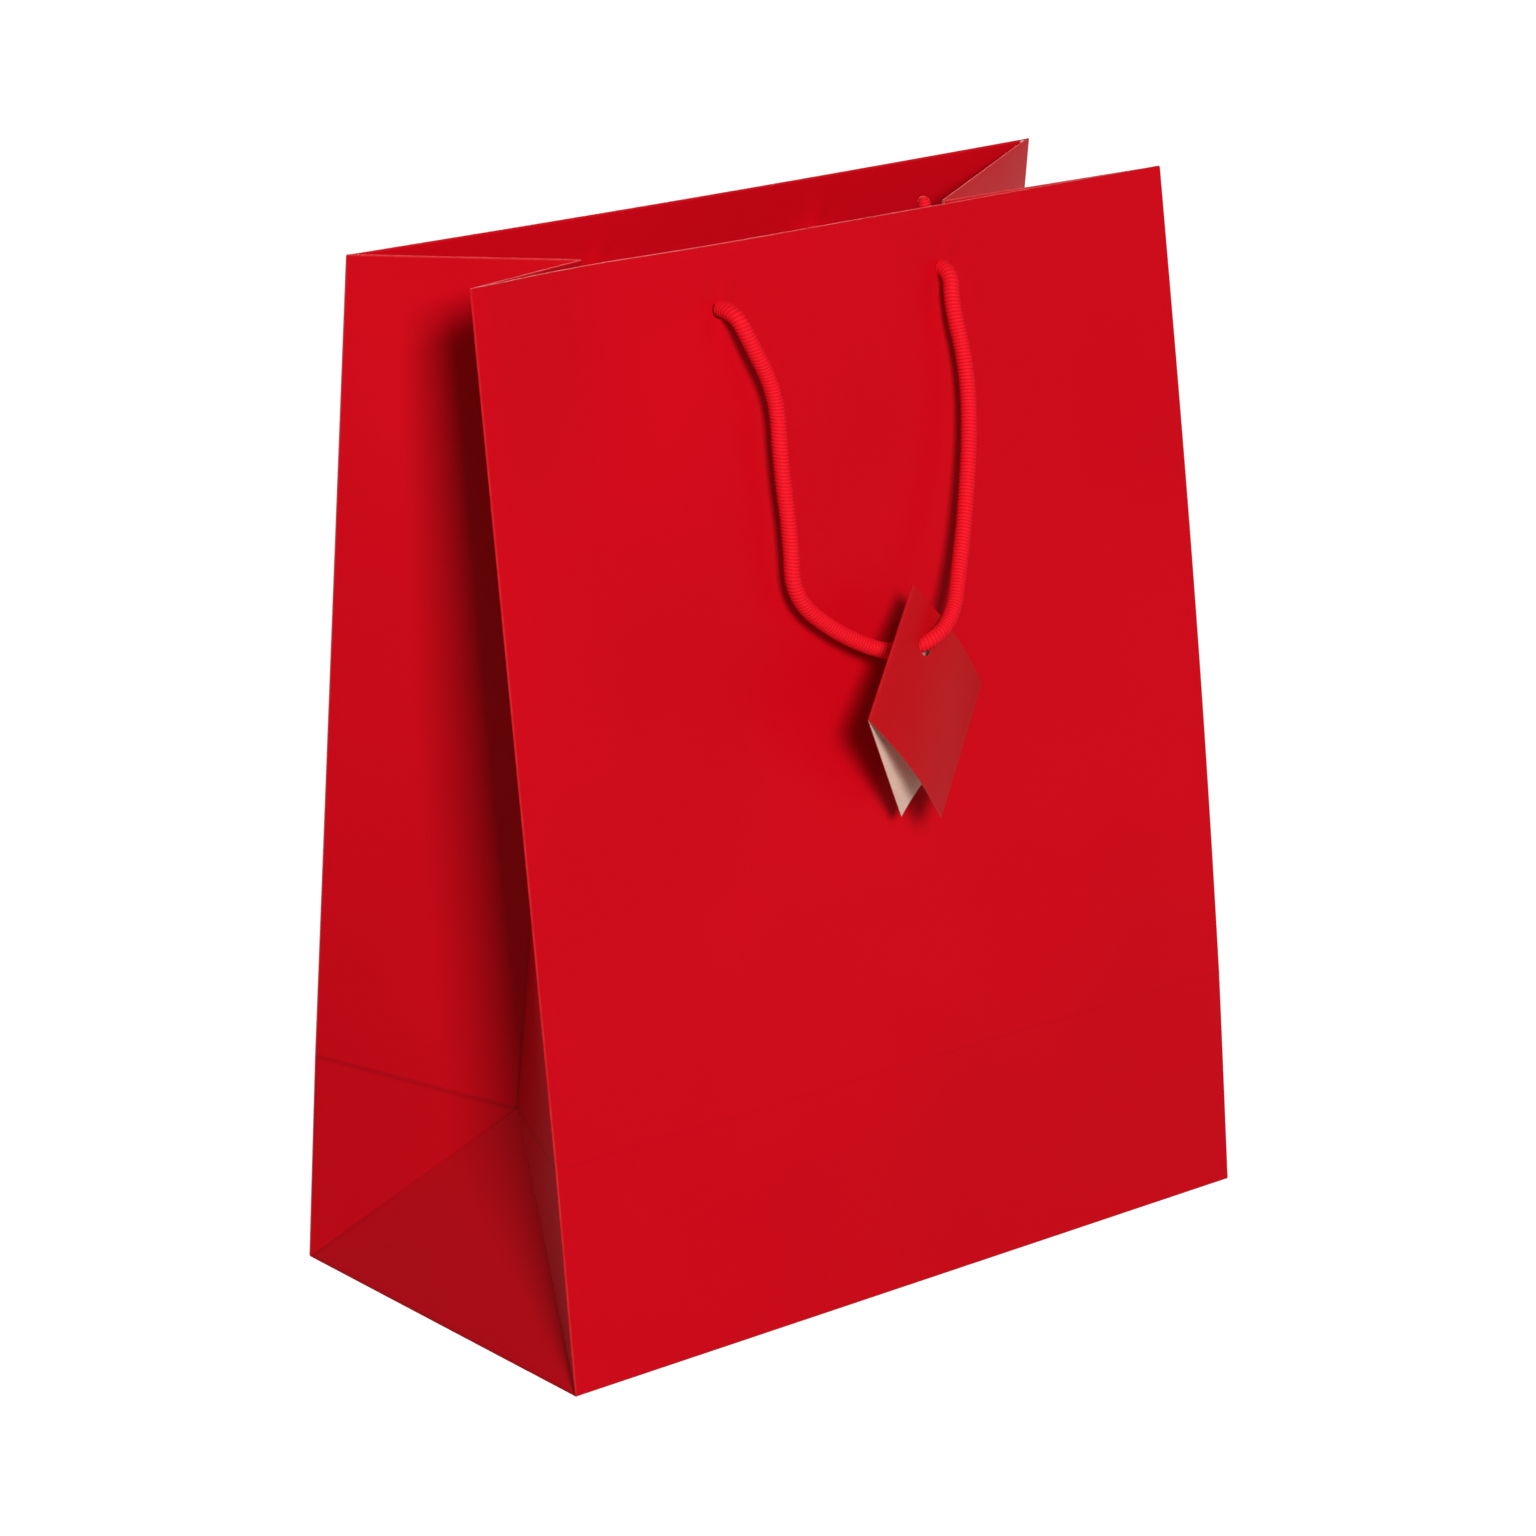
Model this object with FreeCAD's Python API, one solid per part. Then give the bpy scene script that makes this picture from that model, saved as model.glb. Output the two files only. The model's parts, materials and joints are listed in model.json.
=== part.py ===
"""Paper gift bag with cord handles and a folded tag, built up from its creased panels.

Row frame: X runs across the front wall, +Y points to the rear, +Z is up, and the origin is
the middle of the base on the surface that the bag stands on. Lengths are millimetres.

Each wall has a frame of its own: x across it, s up it from the bottom crease, and n out of it.
"""
import FreeCAD, Part
import math
import os

from FreeCAD import Matrix, Placement, Rotation, Vector

os.makedirs("parts", exist_ok=True)

# ---- bag -------------------------------------------------------------------------------------
WIDTH = 265.0           # front wall, from side crease to side crease
DEPTH = 140.0           # side wall, from front crease to rear crease
HEIGHT = 330.0          # up the wall, from bottom crease to top edge
FRONT_INSET = 38.2      # how far inwards the front wall's top edge leans as the bag stands
REAR_INSET = 39.8
MOUTH_CLOSING = 4.0     # degrees that each wall still swings inwards from there
PAPER = 0.3             # laminated paper
CREASE_GAP = 0.1        # air between two panels that share a crease

# ---- turned-in top edge ----------------------------------------------------------------------
HEM_DROP = 35.0         # how far the top edge is turned in
TOP_CARD = 0.6          # strip of card under the turned-in edge
TOP_CARD_DROP = 32.0
HEM_SIDE_INSET = 4.5    # the turned-in strips stop short of the side creases
GLUE = 0.02             # between two glued layers
SEAM_FLAP = 16.0        # glued lap behind the front wall's left crease
SEAM_FLAP_GAP = 1.2     # it stops short of the bottom flaps and of the turned-in edge

# ---- bottom ----------------------------------------------------------------------------------
FLAP_LAP = 14.0         # front and rear flaps reach this far past the middle
FLAP_MITRE = 12.0
SIDE_FLAP = 58.0
SIDE_FLAP_MITRE = 34.0
BASE_CARD = 1.0         # loose stiffening card
BASE_CARD_END_GAP = 2.0
BASE_CARD_SIDE_GAP = 1.0
CARD_LIFT = 0.1

# ---- cords and knots -------------------------------------------------------------------------
CORD = 5.0              # cord diameter
CORD_HOLE = 6.0
EYE = 5.4               # rounded turn of the cord outside its hole
EYE_GAP = 0.3
KNOT = 10.4             # overhand knot inside the wall, across
KNOT_DEPTH = 8.6
KNOT_ROUNDING = 0.4     # share of its depth
KNOT_TAIL = 4.4         # free end of the cord beyond its knot, across
SHORT_TAIL = 13.0
LONG_TAIL = 21.5        # the one that stands above the top edge
TAIL_CLEARANCE = 0.3

# Centre lines of the two loops: x across the wall, drop below its top edge, height off it.
FRONT_CORD_ROUTE = [
    (-43.9, 18.9, 3.2), (-38.2, 28.4, 5.2), (-32.3, 45.3, 7.2), (-32.8, 65.8, 8.0),
    (-31.9, 88.5, 8.0), (-33.1, 106.6, 8.0), (-18.0, 119.9, 8.0), (0.5, 130.0, 10.5),
    (8.5, 126.4, 20.5), (19.5, 121.0, 18.5), (28.6, 106.8, 12.5), (34.0, 90.8, 10.5),
    (40.5, 66.8, 8.5), (41.5, 42.6, 5.8), (41.0, 18.9, 3.2),
]
REAR_CORD_ROUTE = [
    (-42.5, 19.0, 3.2), (-46.5, 39.0, 5.6), (-47.5, 64.0, 6.4), (-42.5, 89.0, 5.6),
    (-33.5, 111.0, 4.4), (-18.5, 126.5, 3.6), (1.5, 132.0, 3.4), (20.0, 125.0, 3.6),
    (33.0, 108.5, 4.2), (41.0, 87.0, 5.2), (46.5, 62.0, 6.2), (46.0, 38.0, 5.4),
    (42.5, 19.0, 3.2),
]

# ---- tag -------------------------------------------------------------------------------------
TAG_SIDE = 50.0
TAG_CARD = 0.3
TAG_HOLE = 8.0
TAG_HOLE_INSET = 13.0   # from the fold and from the upper edge
TAG_HOLE_AT = (6.6, 127.5, 17.2)    # hole's centre: x, drop below the top edge, height off the wall
TAG_LEAN = 4.0          # degrees: top corner towards the wall
TAG_TURN = 21.6         # degrees: fold away from the wall
TAG_SPIN = -3.4         # degrees in the tag's own plane
TAG_OPENING = 5.0       # degrees between the two leaves


def wall_frame(inset, turn):
    """Placement of a wall that leans inwards, turned about Z: 0 is the front, 180 the rear."""
    a = math.asin(inset / HEIGHT)
    across = Vector(1, 0, 0)
    up = Vector(0, math.sin(a), math.cos(a))
    out = across.cross(up)
    axes = Matrix(across.x, up.x, out.x, 0, across.y, up.y, out.y, 0, across.z, up.z, out.z, 0)
    upright = Placement(Vector(0, -DEPTH / 2, 0), Placement(axes).Rotation)
    return Placement(Vector(), Rotation(Vector(0, 0, 1), turn)).multiply(upright)


def hung(point):
    """A cord's or tag's point (x, drop, n) as (x, s, n) in its wall's frame."""
    x, drop, n = point
    return Vector(x, HEIGHT - drop, n)


FRONT = wall_frame(FRONT_INSET, 0)
REAR = wall_frame(REAR_INSET, 180)
FLOOR = Placement()
HEM_FACE = PAPER + TOP_CARD + PAPER + 2 * GLUE      # inside face of the turned-in edge


def export(node, shape):
    """Writes one node and prints what it measures."""
    shape.exportStep(f"parts/{node}.step")
    box = shape.BoundBox
    print(f"{node}: {len(shape.Solids)} solid, valid {shape.isValid()}, {shape.Volume:.1f} mm3, "
          f"x {box.XMin:.1f}..{box.XMax:.1f} y {box.YMin:.1f}..{box.YMax:.1f} z {box.ZMin:.2f}..{box.ZMax:.1f}")


def plate(frame, outline, low, high):
    """Flat sheet: an outline in a frame's own plane, from one height above it to another."""
    points = [Vector(x, y, low) for x, y in outline]
    face = Part.Face(Part.makePolygon(points + points[:1]))
    return face.extrude(Vector(0, 0, high - low)).transformed(frame.toMatrix())


def rectangle(x_low, x_high, y_low, y_high):
    return [(x_low, y_low), (x_high, y_low), (x_high, y_high), (x_low, y_high)]


def bore(frame, x, s, low, high, diameter):
    """Cylinder square to a wall, from one height above its outer face to another."""
    cylinder = Part.makeCylinder(diameter / 2, high - low, Vector(x, s, low), Vector(0, 0, 1))
    return cylinder.transformed(frame.toMatrix())


def pierced(shape, frame, route):
    """The sheet with a round hole at each end of a cord's route."""
    for hole in (hung(route[0]), hung(route[-1])):
        shape = shape.cut(bore(frame, hole.x, hole.y, -HEM_FACE - 1, 1, CORD_HOLE))
    return shape


# ---- walls -----------------------------------------------------------------------------------
def wall_panel(frame, route):
    outline = rectangle(-WIDTH / 2, WIDTH / 2, CREASE_GAP, HEIGHT)
    return pierced(plate(frame, outline, -PAPER, 0), frame, route)


def top_card(frame, route):
    """Stiff strip between the wall and its turned-in edge, which the knots bear on."""
    half = WIDTH / 2 - HEM_SIDE_INSET
    top = HEIGHT - PAPER - CREASE_GAP
    face = -PAPER - GLUE
    strip = plate(frame, rectangle(-half, half, top - TOP_CARD_DROP, top), face - TOP_CARD, face)
    return pierced(strip, frame, route)


def hem(frame, route):
    """Turned-in edge: a thin J over the top card, flush with the wall's top."""
    half = WIDTH / 2 - HEM_SIDE_INSET
    lining = plate(frame, rectangle(-half, half, HEIGHT - HEM_DROP, HEIGHT), -HEM_FACE, PAPER - HEM_FACE)
    fold = plate(frame, rectangle(-half, half, HEIGHT - PAPER, HEIGHT), -HEM_FACE, -PAPER - GLUE)
    return pierced(lining.fuse(fold).removeSplitter(), frame, route)


def seam_flap(frame):
    """Lap of the side wall glued behind the front wall, below the turned-in edge."""
    fold = math.radians(90 - gusset_turn(HEIGHT - HEM_DROP))
    edge = (2 * PAPER + GLUE) / math.tan(fold) + CREASE_GAP
    left = -WIDTH / 2 + edge
    foot = 3 * PAPER + SEAM_FLAP_GAP
    top = HEIGHT - HEM_DROP - SEAM_FLAP_GAP
    outline = [(left, foot), (left + SEAM_FLAP, foot + SEAM_FLAP / 3), (left + SEAM_FLAP, top), (left, top)]
    return plate(frame, outline, -2 * PAPER - GLUE, -PAPER - GLUE)


# ---- side walls, folded inwards --------------------------------------------------------------
HALF = DEPTH / 2        # each side wall folds in half, and its base triangle is as tall


def gusset_turn(height):
    """Degrees between a half side wall and square to the front wall, at a height up the wall."""
    gap = HALF - height / HEIGHT * (FRONT_INSET + REAR_INSET) / 2
    return math.degrees(math.acos(gap / HALF))


def meeting_point(spheres, side):
    """Where three spheres (centre, radius) meet, on the inner side of the side wall."""
    (p, rp), (q, rq), (r, rr) = spheres
    along = (q - p).normalize()
    reach = along.dot(r - p)
    across = (r - p - along * reach).normalize()
    square = along.cross(across)
    span = (q - p).Length
    offset = across.dot(r - p)
    x = (rp**2 - rq**2 + span**2) / (2 * span)
    y = (rp**2 - rr**2 + reach**2 + offset**2 - 2 * reach * x) / (2 * offset)
    rise = square * math.sqrt(rp**2 - x**2 - y**2)
    base = p + along * x + across * y
    return min(base + rise, base - rise, key=lambda point: side * point.x)


def side_creases(side):
    """Corners of one folded side wall (side -1 left, +1 right), each kept at its flat distance.

    The middle crease starts where the base triangle's slanting creases meet, half the bag's
    depth up both walls, and ends on the top edge, half the depth from both corners.
    """
    corner = {}
    for name, frame, sign in (("front", FRONT, side), ("rear", REAR, -side)):
        for level, s in (("foot", 0.0), ("knee", HALF), ("top", HEIGHT)):
            corner[name, level] = frame.multVec(Vector(sign * WIDTH / 2, s, 0))
    slant = HALF * math.sqrt(2)
    corner["middle", "knee"] = meeting_point(
        [(corner["front", "foot"], slant), (corner["rear", "foot"], slant), (corner["front", "knee"], HALF)], side)
    corner["middle", "top"] = meeting_point(
        [(corner["front", "top"], HALF), (corner["rear", "top"], HALF),
         (corner["middle", "knee"], HEIGHT - HALF)], side)
    return corner


def blended(quad, u, v):
    """Point of the ruled surface through four corners, at shares u across and v up."""
    a, b, c, d = quad
    return a * ((1 - u) * (1 - v)) + b * (u * (1 - v)) + c * (u * v) + d * ((1 - u) * v)


def ruled_sheet(quad, u_range, v_range, low, high, out):
    """Twisted sheet on the ruled surface through four corners.

    It covers the given shares of the surface and lies between two heights above it, on the
    side that out points to. Its six faces are ruled between straight edges.
    """
    layers = []
    for height in (low, high):
        layer = []
        for u, v in ((u_range[0], v_range[0]), (u_range[1], v_range[0]),
                     (u_range[1], v_range[1]), (u_range[0], v_range[1])):
            across = blended(quad, 1, v) - blended(quad, 0, v)
            upward = blended(quad, u, 1) - blended(quad, u, 0)
            normal = across.cross(upward).normalize()
            if normal.dot(out) < 0:
                normal = -normal
            layer.append(blended(quad, u, v) + normal * height)
        layers.append(layer)
    below, above = layers
    faces = [Part.makeRuledSurface(Part.makeLine(k[0], k[1]), Part.makeLine(k[3], k[2]))
             for k in (below, above)]
    for i in range(4):
        j = (i + 1) % 4
        faces.append(Part.makeRuledSurface(Part.makeLine(below[i], below[j]), Part.makeLine(above[i], above[j])))
    shell = Part.Shell(faces)
    shell.sewShape()
    solid = Part.Solid(shell)
    if solid.Volume < 0:
        solid.reverse()
    return solid


def triangle_sheet(points, gap, out):
    """Flat triangular panel, drawn in from its creases, with its thickness on the out side."""
    a, b, c = points
    la, lb, lc = (b - c).Length, (c - a).Length, (a - b).Length
    centre = (a * la + b * lb + c * lc) / (la + lb + lc)
    area = (b - a).cross(c - a).Length / 2
    share = 1 - gap * (la + lb + lc) / (2 * area)
    drawn = [centre + (p - centre) * share for p in points]
    normal = (b - a).cross(c - a).normalize()
    if normal.dot(out) < 0:
        normal = -normal
    return Part.Face(Part.makePolygon(drawn + drawn[:1])).extrude(normal * PAPER)


def half_gusset(corner, wall, side):
    """The three pieces of one half of a side wall: upper panel, its turned-in edge, lower triangle.

    A half's sheet lies on the notch side of its surface, so that it clears the wall that it
    is creased to. It starts where it leaves that wall's own thickness.
    """
    quad = (corner[wall, "knee"], corner["middle", "knee"], corner["middle", "top"], corner[wall, "top"])
    notch = Vector(side, 0, 0)
    fold = math.radians(90 - gusset_turn(HEIGHT))
    start = (PAPER / math.sin(fold) + CREASE_GAP) / HALF
    end = 1 - (PAPER / math.tan(fold) + CREASE_GAP) / HALF
    rows = HEIGHT - HALF
    upper = ruled_sheet(quad, (start, end), (CREASE_GAP / rows, 1 - CREASE_GAP / rows), 0, PAPER, notch)
    hem_range = ((HEIGHT - HEM_DROP - HALF) / rows, 1 - CREASE_GAP / rows)
    hem_start = HEM_SIDE_INSET / HALF
    lining = ruled_sheet(quad, (hem_start, end), hem_range, -CREASE_GAP - PAPER, -CREASE_GAP, notch)
    foot = triangle_sheet([corner[wall, "foot"], corner[wall, "knee"], corner["middle", "knee"]],
                          2 * PAPER, notch)
    return upper, lining, foot


def base_triangle(corner, side):
    """Flat panel that rises from the side crease of the base to the foot of the middle crease."""
    points = [corner["front", "foot"], corner["rear", "foot"], corner["middle", "knee"]]
    return triangle_sheet(points, 2 * PAPER, Vector(-side, 0, 0))


# ---- bottom ----------------------------------------------------------------------------------
def wall_inset(height, inset):
    """How far in from a wall's bottom crease its inner face is at a height, with the mouth closed."""
    swing = math.asin(inset / HEIGHT) + math.radians(MOUTH_CLOSING)
    return PAPER / math.cos(swing) + height * math.tan(swing) + CREASE_GAP


def side_inset(height):
    """The same for a base triangle, whose slope is the side wall's fold."""
    slope = math.atan2(WIDTH / 2 - abs(LEFT["middle", "knee"].x), LEFT["middle", "knee"].z)
    swing = slope + math.radians(2 * MOUTH_CLOSING)
    return PAPER / math.cos(swing) + height * math.tan(swing) + CREASE_GAP


def long_flap(side, low):
    """Front (-1) or rear (+1) bottom flap, mitred at both ends."""
    inset = FRONT_INSET if side < 0 else REAR_INSET
    crease = side * (DEPTH / 2 - wall_inset(low + PAPER, inset))
    tip = -side * FLAP_LAP
    half = WIDTH / 2 - side_inset(low + PAPER)
    outline = [(-half, crease), (half, crease), (half - FLAP_MITRE, tip), (FLAP_MITRE - half, tip)]
    return plate(FLOOR, outline, low, low + PAPER)


def side_flap(side, low):
    """Left (-1) or right (+1) bottom flap, under the base card, with its slanting ends."""
    crease = side * (WIDTH / 2 - side_inset(low + PAPER))
    tip = crease - side * SIDE_FLAP
    half = DEPTH / 2 - wall_inset(low + PAPER, max(FRONT_INSET, REAR_INSET))
    outline = [(crease, -half), (crease, half), (tip, half - SIDE_FLAP_MITRE), (tip, SIDE_FLAP_MITRE - half)]
    return plate(FLOOR, outline, low, low + PAPER)


def base_card():
    """Loose card that keeps the base flat, a little smaller than the bag's inside."""
    low = 3 * PAPER + CARD_LIFT
    half_x = WIDTH / 2 - BASE_CARD_END_GAP - side_inset(low + BASE_CARD) + side_inset(0)
    half_y = DEPTH / 2 - BASE_CARD_SIDE_GAP
    return plate(FLOOR, rectangle(-half_x, half_x, -half_y, half_y), low, low + BASE_CARD)


# ---- cords -----------------------------------------------------------------------------------
def route_wire(name, points):
    """Straight runs joined by tangent arcs, each arc as large as its two runs allow."""
    edges, radii, last = [], [], points[0]
    for before, here, after in zip(points, points[1:], points[2:]):
        back, ahead = before - here, after - here
        reach = 0.45 * min(back.Length, ahead.Length)
        half_turn = (math.pi - back.getAngle(ahead)) / 2
        radii.append(reach / math.tan(half_turn))
        back.normalize()
        ahead.normalize()
        start, end = here + back * reach, here + ahead * reach
        inward = (back + ahead).normalize()
        middle = here + inward * (radii[-1] / math.cos(half_turn) - radii[-1])
        edges += [Part.LineSegment(last, start).toShape(), Part.Arc(start, middle, end).toShape()]
        last = end
    edges.append(Part.LineSegment(last, points[-1]).toShape())
    wire = Part.Wire(edges)
    print(f"{name}: {wire.Length:.1f} mm long, radii " + " ".join(f"{r:.0f}" for r in radii))
    return wire


def handle_cord(name, frame, route):
    """The loop that hangs outside a wall, with a rounded eye where it turns into each hole."""
    points = [frame.multVec(hung(p)) for p in route]
    wire = route_wire(name, points)
    start = Part.Wire(Part.makeCircle(CORD / 2, points[0], points[1] - points[0]))
    tube = wire.makePipeShell([start], True, False)
    expected = math.pi * CORD**2 / 4 * wire.Length
    print(f"{name}: tube {tube.Volume:.0f} mm3, section times length {expected:.0f} mm3")
    for end in (points[0], points[-1]):
        tube = tube.fuse(Part.makeSphere(EYE / 2, end))
    return tube


def knot(frame, hole, tail_length, tail_up):
    """Overhand knot inside the wall, the cord's stretch through its hole, and its free end."""
    x, s, n = hung(hole)
    seat = -HEM_FACE - EYE_GAP
    stub = Part.makeCylinder(CORD / 2, n - EYE / 2 - EYE_GAP - seat + KNOT_DEPTH / 2,
                             Vector(x, s, seat - KNOT_DEPTH / 2), Vector(0, 0, 1))
    body = Part.makeCylinder(KNOT / 2, KNOT_DEPTH, Vector(x, s, seat - KNOT_DEPTH), Vector(0, 0, 1))
    rims = [edge for edge in body.Edges if isinstance(edge.Curve, Part.Circle)]
    body = body.makeFillet(KNOT_DEPTH * KNOT_ROUNDING, rims)
    tail_n = seat - KNOT_TAIL / 2 - TAIL_CLEARANCE
    tail = Part.makeCylinder(KNOT_TAIL / 2, tail_length, Vector(x, s, tail_n), Vector(0, tail_up, 0))
    return body.fuse([stub, tail]).removeSplitter().transformed(frame.toMatrix())


# ---- tag -------------------------------------------------------------------------------------
def tag_axes():
    """Directions in the front wall's frame: along the fold, along the upper edge, out of the tag."""
    down = math.sqrt(0.5)
    set_up = (Rotation(Vector(0, 1, 0), TAG_TURN)
              .multiply(Rotation(Vector(1, 0, 0), -TAG_LEAN))
              .multiply(Rotation(Vector(0, 0, 1), TAG_SPIN)))
    return [set_up.multVec(v) for v in (Vector(-down, -down, 0), Vector(down, -down, 0), Vector(0, 0, 1))]


def tag_leaf(opening, low, high):
    """One square leaf, turned about the fold, between two heights above its own plane."""
    fold, edge, out = tag_axes()
    corner = hung(TAG_HOLE_AT) - (fold + edge) * TAG_HOLE_INSET
    turn = Rotation(fold, opening)
    across = turn.multVec(edge)
    out = turn.multVec(out)
    near = TAG_CARD
    square = [corner + across * near, corner + fold * TAG_SIDE + across * near,
              corner + fold * TAG_SIDE + across * TAG_SIDE, corner + across * TAG_SIDE]
    leaf = Part.Face(Part.makePolygon([p + out * low for p in square + square[:1]])).extrude(out * (high - low))
    hole = corner + (fold + across) * TAG_HOLE_INSET
    punch = Part.makeCylinder(TAG_HOLE / 2, 4 * TAG_CARD, hole - out * (2 * TAG_CARD), out)
    return leaf.cut(punch).transformed(FRONT.toMatrix())


# ---- the whole bag ---------------------------------------------------------------------------
LEFT = side_creases(-1)
RIGHT = side_creases(1)

for name, frame, route, tails in (
    ("front", FRONT, FRONT_CORD_ROUTE, ((SHORT_TAIL, -1), (LONG_TAIL, 1))),
    ("rear", REAR, REAR_CORD_ROUTE, ((SHORT_TAIL, -1), (SHORT_TAIL, -1))),
):
    export(f"{name}_panel", wall_panel(frame, route))
    export(f"{name}_top_card", top_card(frame, route))
    export(f"{name}_hem", hem(frame, route))
    export(f"{name}_handle_cord", handle_cord(f"{name}_handle_cord", frame, route))
    sides = ("left", "right") if name == "front" else ("right", "left")
    for hand, hole, (length, up) in zip(sides, (route[0], route[-1]), tails):
        export(f"{name}_{hand}_knot", knot(frame, hole, length, up))
export("front_seam_flap", seam_flap(FRONT))

for hand, side, corner in (("left", -1, LEFT), ("right", 1, RIGHT)):
    for wall in ("front", "rear"):
        upper, lining, foot = half_gusset(corner, wall, side)
        export(f"{hand}_{wall}_gusset", upper)
        export(f"{hand}_{wall}_gusset_hem", lining)
        export(f"{hand}_{wall}_gusset_foot", foot)
    export(f"{hand}_base_gusset", base_triangle(corner, side))
    export(f"{hand}_bottom_flap", side_flap(side, 2 * PAPER))

export("front_bottom_flap", long_flap(-1, 0.0))
export("rear_bottom_flap", long_flap(1, PAPER))
export("base_card", base_card())

export("tag_front_leaf", tag_leaf(0.0, 0.0, TAG_CARD))
export("tag_rear_leaf", tag_leaf(-TAG_OPENING, -TAG_CARD, 0.0))
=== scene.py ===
"""Paper gift bag with gusseted sides, ribbed cord handles and a folded tag.

Row frame, metres: X across the front wall, +Y to the rear, +Z up, origin in the middle of the
base. Each wall also has its own frame: x across it, s up it from the bottom crease, n out of it.
Every sheet of paper is a surface of two parameters that is given its thickness, its turned
edges and its holes on a grid.
"""
import json
import math

import bpy
import numpy as np
from mathutils import Matrix, Vector


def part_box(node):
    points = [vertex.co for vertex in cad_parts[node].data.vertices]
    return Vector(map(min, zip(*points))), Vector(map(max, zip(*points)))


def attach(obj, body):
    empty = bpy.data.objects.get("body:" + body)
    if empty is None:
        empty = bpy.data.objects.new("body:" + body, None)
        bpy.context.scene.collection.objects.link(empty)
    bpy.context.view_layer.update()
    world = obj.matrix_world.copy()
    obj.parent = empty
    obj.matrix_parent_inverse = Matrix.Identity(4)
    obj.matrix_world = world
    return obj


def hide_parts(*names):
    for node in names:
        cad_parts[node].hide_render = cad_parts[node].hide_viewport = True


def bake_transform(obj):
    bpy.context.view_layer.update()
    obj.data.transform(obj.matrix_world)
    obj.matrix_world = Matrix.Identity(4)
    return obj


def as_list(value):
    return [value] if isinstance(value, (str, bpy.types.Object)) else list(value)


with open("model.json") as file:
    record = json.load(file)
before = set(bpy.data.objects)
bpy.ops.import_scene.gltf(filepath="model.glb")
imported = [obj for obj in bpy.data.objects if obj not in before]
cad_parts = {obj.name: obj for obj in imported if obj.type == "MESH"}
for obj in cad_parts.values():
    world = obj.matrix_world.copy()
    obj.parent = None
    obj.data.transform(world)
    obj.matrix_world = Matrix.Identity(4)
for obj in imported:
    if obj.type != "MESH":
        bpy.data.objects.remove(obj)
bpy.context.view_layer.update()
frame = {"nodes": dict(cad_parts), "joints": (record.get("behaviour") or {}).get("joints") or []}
JOINT = {joint["name"]: joint for joint in frame["joints"]}

MM = 0.001
PAPER = 0.3 * MM
TOP_CARD = 0.6 * MM
GLUE = 0.02 * MM
HEM_DROP = 35 * MM
HEM_SIDE_INSET = 4.5 * MM
TOP_CARD_DROP = 32 * MM
HEM_DEPTH = 2 * PAPER + TOP_CARD + 2 * GLUE     # from the wall's face to the turned-in face
CORD = 5 * MM
CORD_HOLE = 5 * MM                              # the paper closes in on the cord a little
HOLE_REACH = 8 * MM                             # how far a round hole bends the grid round it
ROLL = 0.5 * MM                                 # outside radius of a creased corner
FOLD_PAINTED_SHADE = 0.3                                 # how dark painted shade makes an inward fold
NEAR_FOLD = np.array([0.0, 0.05, 0.3, 1.0]) * MM    # extra grid lines beside each rounded fold

# Centre lines of the two loops: x across the wall, drop below its top edge, height off it.
FRONT_CORD_ROUTE = np.array([
    (-43.9, 18.9, -1.1), (-43.9, 19.2, 5.6), (-40.5, 29.0, 8.0), (-32.4, 45.6, 7.8),
    (-33.2, 66.2, 8.0), (-31.8, 89.1, 8.0), (-32.8, 106.6, 8.0), (-18.0, 119.8, 8.0),
    (0.5, 130.0, 10.5), (8.5, 126.4, 20.5), (19.5, 121.0, 18.5), (28.7, 106.4, 12.5),
    (34.1, 91.2, 10.5), (40.2, 66.3, 8.5), (41.4, 47.0, 7.2), (38.4, 29.5, 6.2),
    (40.7, 19.3, 4.2), (41.0, 18.9, -1.1),
]) * MM
REAR_CORD_ROUTE = np.array([
    (-42.5, 19.0, -1.1), (-42.5, 19.3, 5.2), (-44.6, 29.0, 6.8), (-46.9, 42.0, 6.2),
    (-47.5, 64.0, 6.4), (-42.5, 89.0, 5.6), (-33.5, 111.0, 4.4), (-18.5, 126.5, 3.6),
    (1.5, 132.0, 3.4), (20.0, 125.0, 3.6), (33.0, 108.5, 4.2), (41.0, 87.0, 5.2),
    (46.5, 62.0, 6.2), (46.4, 41.0, 6.0), (44.4, 29.0, 6.6), (42.5, 19.3, 5.2),
    (42.5, 19.0, -1.1),
]) * MM


# ---- places taken from the frame -------------------------------------------------------------
class Wall:
    """One leaning wall's frame: its origin, its three directions and the bow of its sheet."""

    def __init__(self, hinge, left_crease, across, bow):
        self.origin = np.array(JOINT[hinge]["pos_m"], float)
        self.up = np.array(JOINT[left_crease]["axis"], float) * np.sign(JOINT[left_crease]["axis"][2])
        self.across = np.array(across, float)
        self.out = np.cross(self.across, self.up)
        self.bow = bow

    def flat(self, x, s, n):
        """Points of the row frame: the origin plus x across, s up and n out."""
        x, s, n = np.broadcast_arrays(x, s, n)
        return (self.origin + x[..., None] * self.across + s[..., None] * self.up
                + n[..., None] * self.out)

    def place(self, x, s, n=0.0):
        """The same with the sheet's bow added to n."""
        x, s, n = np.broadcast_arrays(x, s, n)
        return self.flat(x, s, n + self.bow(x, s))


def corners(node):
    """Lowest and highest corner of a CAD node's box."""
    return [np.array(corner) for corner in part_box(node)]


WIDTH = corners("front_panel")[1][0] - corners("front_panel")[0][0]
HEIGHT = corners("front_panel")[1][2] / JOINT["left_front_gusset_fold"]["axis"][2]
DEPTH = JOINT["mouth_rear"]["pos_m"][1] - JOINT["mouth_front"]["pos_m"][1]
KNEE = DEPTH / 2        # height of the crease round the bag, where the base folds up flat


def bell(t):
    """Smooth bump: 1 at 0, falling as exp(-t squared)."""
    return np.exp(-t**2)


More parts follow.
